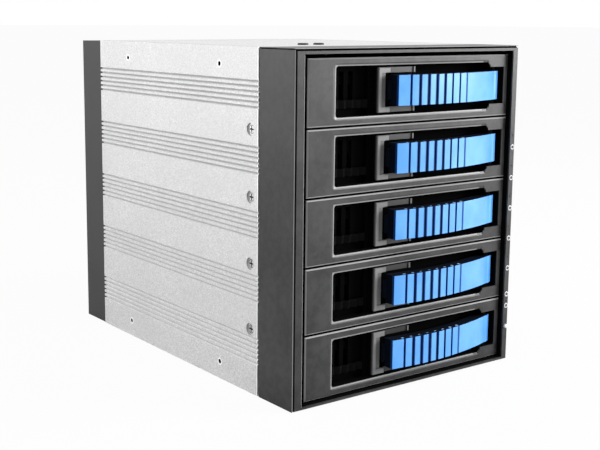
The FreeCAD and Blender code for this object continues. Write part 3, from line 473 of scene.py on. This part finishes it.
# %% [markdown]
# Both circuit boards are glass epoxy under a green solder mask. Copper tracks show through the mask as
# slightly raised, lighter lines, and they run straight with sudden turns, which a grid of bricks gives.


# %% Circuit board
def board_green():
    m = Maker("circuit_board")
    cloud = m.noise(60.0, 3.0)
    upright = m.node("ShaderNodeCombineXYZ", {}, {0: m.x, 1: m.z, 2: 0.0})
    values = {"Vector": upright, "Scale": 100.0, "Mortar Size": 0.014, "Mortar Smooth": 0.1,
              "Brick Width": 0.9, "Row Height": 0.16, "Color1": grey(0.0), "Color2": grey(0.0),
              "Mortar": grey(1.0)}
    track = m.split(m.node("ShaderNodeTexBrick", {"offset": 0.37, "squash": 0.7}, values))[0]
    mask = m.mix(cloud.ramp(0.3, 0.7), tint(0.006, 0.075, 0.028), tint(0.010, 0.10, 0.040))
    colour = m.mix(track * 0.7, mask, tint(0.03, 0.22, 0.09))
    return m.finish(Base_Color=colour, Roughness=0.32 + cloud * 0.06, Normal=m.bump(track, 0.03 * mm))


print("board finish ready")

# %% [markdown]
# Each solid's record names its material slot, so the finishes are handed out by slot.
# The bezel, tray fronts, carriers, latch springs, panels and plates have finishes of their own, and are
# named one by one.

# %% Hand out the finishes
by_slot = {
    "black_plastic": moulded("black_plastic", grey(0.016), grey(0.022), 0.5, edge_highlight=grey(0.08)),
    "blue_plastic": lever_blue(),
    "grey_plastic": latch_grey(),
    "screw_steel": plated("screw_steel", 0.72, 0.26, screw_high.x),
    "black_screw": plated("black_screw", 0.05, 0.34),
    "black_steel": moulded("black_steel", grey(0.02), grey(0.03), 0.38, 5200.0, grey(0.1)),
    "clear_plastic": moulded("lamp_lens", grey(0.05), grey(0.07), 0.16, 2500.0),
    "white_plastic": moulded("white_plastic", grey(0.74), grey(0.84), 0.36),
    "circuit_board": board_green(),
    "connector_plastic": moulded("connector_plastic", grey(0.014), grey(0.022), 0.42, edge_highlight=grey(0.06)),
    "white_nylon": moulded("white_nylon", tint(0.70, 0.68, 0.62), tint(0.78, 0.76, 0.71), 0.42),
}
by_node = {"front_bezel": bezel_finish, "left_side_panel": side_finish, "right_side_panel": side_finish,
           "top_cover": plate_finish, "bottom_plate": plate_finish}
carrier_finish = moulded("carrier_black_shaded_front", grey(0.016), grey(0.024), 0.5, edge_highlight=grey(0.08),
                         deep=near_tray_front)
spring_finish = spring_in_shade()
for body in trays:
    by_node[body + "_front"] = tray_finish
    by_node[body + "_carrier"] = carrier_finish
    by_node[body + "_latch_spring"] = spring_finish
for node, piece in frame["nodes"].items():
    piece.data.materials.clear()
    piece.data.materials.append(by_node.get(node) or by_slot[slots[node]])
print("finishes given to", len(slots), "nodes")

# %% [markdown]
# Small details are modelled with bmesh operators and ride on the body that carries them.
# A helper turns a bmesh into a finished piece and names its body and its finish.


# %% A finished piece
def piece_from(shape, name, body, finish):
    bmesh.ops.remove_doubles(shape, verts=shape.verts, dist=0.001 * mm)
    bmesh.ops.recalc_face_normals(shape, faces=shape.faces)
    mesh = bpy.data.meshes.new(name)
    shape.to_mesh(mesh)
    shape.free()
    mesh.materials.append(finish)
    made = bpy.data.objects.new(name, mesh)
    bpy.context.scene.collection.objects.link(made)
    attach(made, body)
    return made


def ring(shape, middle, radius, thick):
    """Torus about an axis along Y: a small circle, spun all the way round."""
    start = Matrix.Translation(middle + Vector((radius, 0, 0)))
    made = bmesh.ops.create_circle(shape, segments=8, radius=thick, matrix=start)
    edges = list({edge for vert in made["verts"] for edge in vert.link_edges})
    bmesh.ops.spin(shape, geom=made["verts"] + edges, cent=middle, axis=(0, 1, 0), dvec=(0, 0, 0),
                   angle=math.tau, steps=28, use_merge=True)


print("piece helpers ready")

# %% [markdown]
# Each large lamp sits in a small white collar pressed into the border, which is what one sees from the
# front as a pale ring round a dark lens. A ring spun about the lamp's own axis is enough.

# %% Lamp collars
pipe_low, pipe_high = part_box("light_pipes")
lamp_x = (pipe_low.x + pipe_high.x) / 2
lamp_r = (pipe_high.x - pipe_low.x) / 2
top_lamp = pipe_high.z - 7.0 * mm
lower_lamps = [36.3 * mm, 30.0 * mm]
lamp_heights = [top_lamp - i * pitch / 2 for i in range(5)] + lower_lamps
collars = bmesh.new()
for z in lamp_heights:
    ring(collars, Vector((lamp_x, front_y, z)), lamp_r + 0.1 * mm, 0.28 * mm)
piece_from(collars, "lamp_collars", "cage", by_slot["white_plastic"])
print("lamp collars:", len(lamp_heights), "at x", round(lamp_x / mm, 2))

# %% [markdown]
# Each drive connector holds a row of sprung contacts along the roof of its slot, 1.27 mm apart. They are
# gold plated bronze, one small bar each. The row has 23 places, and the ninth is left empty. The tenth bar
# lies inside the block of the slot's key and isn't seen.


# %% Drive contacts
def bar(shape, middle, wide, deep, high):
    matrix = Matrix.Translation(middle) @ Matrix.Diagonal((wide, deep, high, 1))
    bmesh.ops.create_cube(shape, size=1, matrix=matrix)


def gold():
    m = Maker("contact_gold")
    wear = m.noise(1500.0, 3.0)
    colour = m.mix(wear, tint(0.83, 0.53, 0.17), tint(0.95, 0.68, 0.30))
    return m.finish(Base_Color=colour, Metallic=0.95, Roughness=0.22 + wear * 0.12)


contact_pitch = 1.27 * mm
first_contact = 4.2 * mm
contact_places = 23
empty_place = 8
socket_low, socket_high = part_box("drive_connectors")
socket_half = (socket_high.z - socket_low.z - pitch * (len(trays) - 1)) / 2
contacts = bmesh.new()
for n in range(len(trays)):
    z = socket_low.z + socket_half + n * pitch
    for i in range(contact_places):
        if i != empty_place:
            x = socket_low.x + first_contact + i * contact_pitch
            middle = Vector((x, socket_low.y + 3.4 * mm, z + 1.08 * mm))
            bar(contacts, middle, 0.62 * mm, 5.6 * mm, 0.24 * mm)
piece_from(contacts, "drive_contacts", "cage", gold())
print("contacts:", (contact_places - 1) * len(trays))

# %% [markdown]
# The backplane's rear face carries what smooths the drives' supply: an aluminium can capacitor above
# each of the lower four data ports, two chip resistors beside it and a pair of ceramic chips. They fill
# the bare board that shows in the rear window. A can has a rolled lower lip and a dark stripe for its
# minus pole.

# %% Parts on the backplane
board_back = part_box("backplane")[1].y
port_low, port_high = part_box("data_ports")
port_tall = 16.4 * mm
port_step = (port_high.z - port_low.z - port_tall) / (len(trays) - 1)
port_x = (port_low.x + port_high.x) / 2
cans = bmesh.new()
chips = bmesh.new()
ceramics = bmesh.new()
stand = Matrix.Rotation(math.radians(90), 4, "X")
for n in range(len(trays) - 1):
    z = port_low.z + port_tall + n * port_step
    spot = Vector((port_x + 0.8 * mm, board_back, z + 5.2 * mm))
    for radius, low, high in ((2.9, 0.0, 0.5), (2.6, 0.5, 0.9), (2.8, 0.9, 5.4)):
        middle = spot + Vector((0, (low + high) / 2 * mm, 0))
        made = bmesh.ops.create_cone(cans, cap_ends=True, segments=32, radius1=radius * mm,
                                     radius2=radius * mm, depth=(high - low) * mm,
                                     matrix=Matrix.Translation(middle) @ stand)
        if high > 5:
            rims = [e for v in made["verts"] for e in v.link_edges if len(e.link_faces) == 2
                    and e.calc_face_angle() > 1.0]
            bmesh.ops.bevel(cans, geom=list(set(rims)), offset=0.35 * mm, offset_type="OFFSET",
                            affect="EDGES", segments=3, profile=0.5, material=-1)
    for up in (3.6, 6.8):
        bar(chips, Vector((port_x - 4.0 * mm, board_back + 0.3 * mm, z + up * mm)),
            1.6 * mm, 0.6 * mm, 0.85 * mm)
    for across in (-1.6, 1.6):
        bar(ceramics, Vector((port_x + across * mm, board_back + 0.5 * mm, z + 11.4 * mm)),
            1.3 * mm, 1.0 * mm, 2.0 * mm)


def can_finish():
    m = Maker("can_aluminium")
    brushed = m.noise(900.0, 4.0)
    top = (m.y - board_back).ramp(5.1 * mm, 5.2 * mm)
    stripe = (m.x - port_x).ramp(2.2 * mm, 2.3 * mm) * (1 - top)
    base = m.mix(brushed, grey(0.38), grey(0.5))
    base = m.mix(stripe, base, grey(0.02))
    return m.finish(Base_Color=base, Metallic=0.9, Roughness=0.3 + brushed * 0.1)


piece_from(cans, "board_cans", "cage", can_finish())
piece_from(chips, "board_chips", "cage",
           moulded("chip_black", grey(0.01), grey(0.02), 0.3, edge_highlight=grey(0.5)))
piece_from(ceramics, "board_ceramics", "cage",
           moulded("ceramic_tan", tint(0.30, 0.19, 0.09), tint(0.38, 0.25, 0.13), 0.4, edge_highlight=grey(0.6)))
print("board parts on", len(trays) - 1, "places")

# %% [markdown]
# The camera stands to the left of the cage's front and a little above it, with a long lens, so the
# cage's edges run nearly parallel. Its place is given in cage widths from the bezel's lower left corner.

# %% Camera
width = bezel_high.x - bezel_low.x
camera_at = bezel_low + Vector((-2.0111, -2.6485, 1.2462)) * width
turn = math.radians(35.89)
dip = math.radians(8.99)
roll = math.radians(0.33)
ahead = Vector((math.cos(dip) * math.sin(turn), math.cos(dip) * math.cos(turn), -math.sin(dip)))

lens = bpy.data.cameras.new("camera")
lens.lens = 65.18
lens.sensor_width = 36.0
lens.shift_x = 0.051
lens.shift_y = -0.0568
camera = bpy.data.objects.new("camera", lens)
aim = (-ahead).to_track_quat("Z", "Y").to_matrix().to_4x4()
camera.matrix_world = Matrix.Translation(camera_at) @ aim @ Matrix.Rotation(roll, 4, "Z")
bpy.context.scene.collection.objects.link(camera)
bpy.context.scene.camera = camera
print("camera", round((camera_at - bezel_low).length / width, 3), "cage widths from the bezel's corner")

# %% [markdown]
# The floor is a plain pale sheet just below the cage. Camera rays see it mostly as white, so the
# background is even, and a twentieth of its real shading is kept, so the cage's shadow stays on it.


# %% Floor
def sheet(name, half):
    mesh = bpy.data.meshes.new(name)
    shape = bmesh.new()
    bmesh.ops.create_grid(shape, x_segments=1, y_segments=1, size=half)
    bmesh.ops.translate(shape, verts=shape.verts, vec=(0, 0, -0.1 * mm))
    shape.to_mesh(mesh)
    shape.free()
    made = bpy.data.objects.new(name, mesh)
    bpy.context.scene.collection.objects.link(made)
    return made


floor = sheet("floor", 25.0)
m = Maker("floor")
floor_material = m.finish(Base_Color=grey(0.7), Roughness=0.9)
glow = m.node("ShaderNodeEmission", {}, {"Color": grey(1.0), "Strength": 1.0})
rays = m.node("ShaderNodeLightPath", {}, {}, "Is Camera Ray")
values = {0: rays * 0.95, 1: Socket(m, m.shader.outputs[0]), 2: glow}
blend = m.node("ShaderNodeMixShader", {}, values)
m.tree.links.new(blend.out, m.tree.nodes["Material Output"].inputs["Surface"])
floor.data.materials.append(floor_material)
print("floor laid")

# %% [markdown]
# Black plastic shows shape by what it reflects, and blasted metal by a broad soft glow.
# So a large softbox stands behind the left side for the metal, a second one stands to the right of the
# front for the sheen on the trays and levers, and a third from above fills the top. The world is white to
# the camera and in reflections, and a dim grey for the rest, which only fills the shade.

# %% World and lamps
world = bpy.data.worlds.new("studio")
bpy.context.scene.world = world
world.use_nodes = True
tree = world.node_tree
dim = tree.nodes["Background"]
dim.inputs["Color"].default_value = grey(1.0)
dim.inputs["Strength"].default_value = 0.35
white = tree.nodes.new("ShaderNodeBackground")
white.inputs["Color"].default_value = grey(1.0)
path = tree.nodes.new("ShaderNodeLightPath")
choose = tree.nodes.new("ShaderNodeMixShader")
seen = tree.nodes.new("ShaderNodeMath")
seen.operation = "MAXIMUM"
tree.links.new(path.outputs["Is Camera Ray"], seen.inputs[0])
tree.links.new(path.outputs["Is Glossy Ray"], seen.inputs[1])
tree.links.new(seen.outputs[0], choose.inputs[0])
tree.links.new(dim.outputs[0], choose.inputs[1])
tree.links.new(white.outputs[0], choose.inputs[2])
tree.links.new(choose.outputs[0], tree.nodes["World Output"].inputs["Surface"])


def softbox(name, at, target, wide, high, power):
    data = bpy.data.lights.new(name, "AREA")
    data.shape = "RECTANGLE"
    data.size = wide
    data.size_y = high
    data.energy = power
    made = bpy.data.objects.new(name, data)
    made.location = at
    made.rotation_euler = (Vector(target) - Vector(at)).to_track_quat("-Z", "Y").to_euler()
    bpy.context.scene.collection.objects.link(made)
    return made


softbox("box_left", (-1.15, 0.72, 0.3), (0, 0, 0.08), 1.0, 0.5, 7.2)
softbox("box_right", (0.86, -0.72, 0.39), (0, -0.1, 0.13), 0.6, 0.5, 15.5)
softbox("box_top", (-0.2, -0.3, 1.2), (0, 0, 0.1), 0.6, 0.6, 5.0)
bpy.context.scene.view_settings.view_transform = "Standard"
print("three softboxes and a dim world")
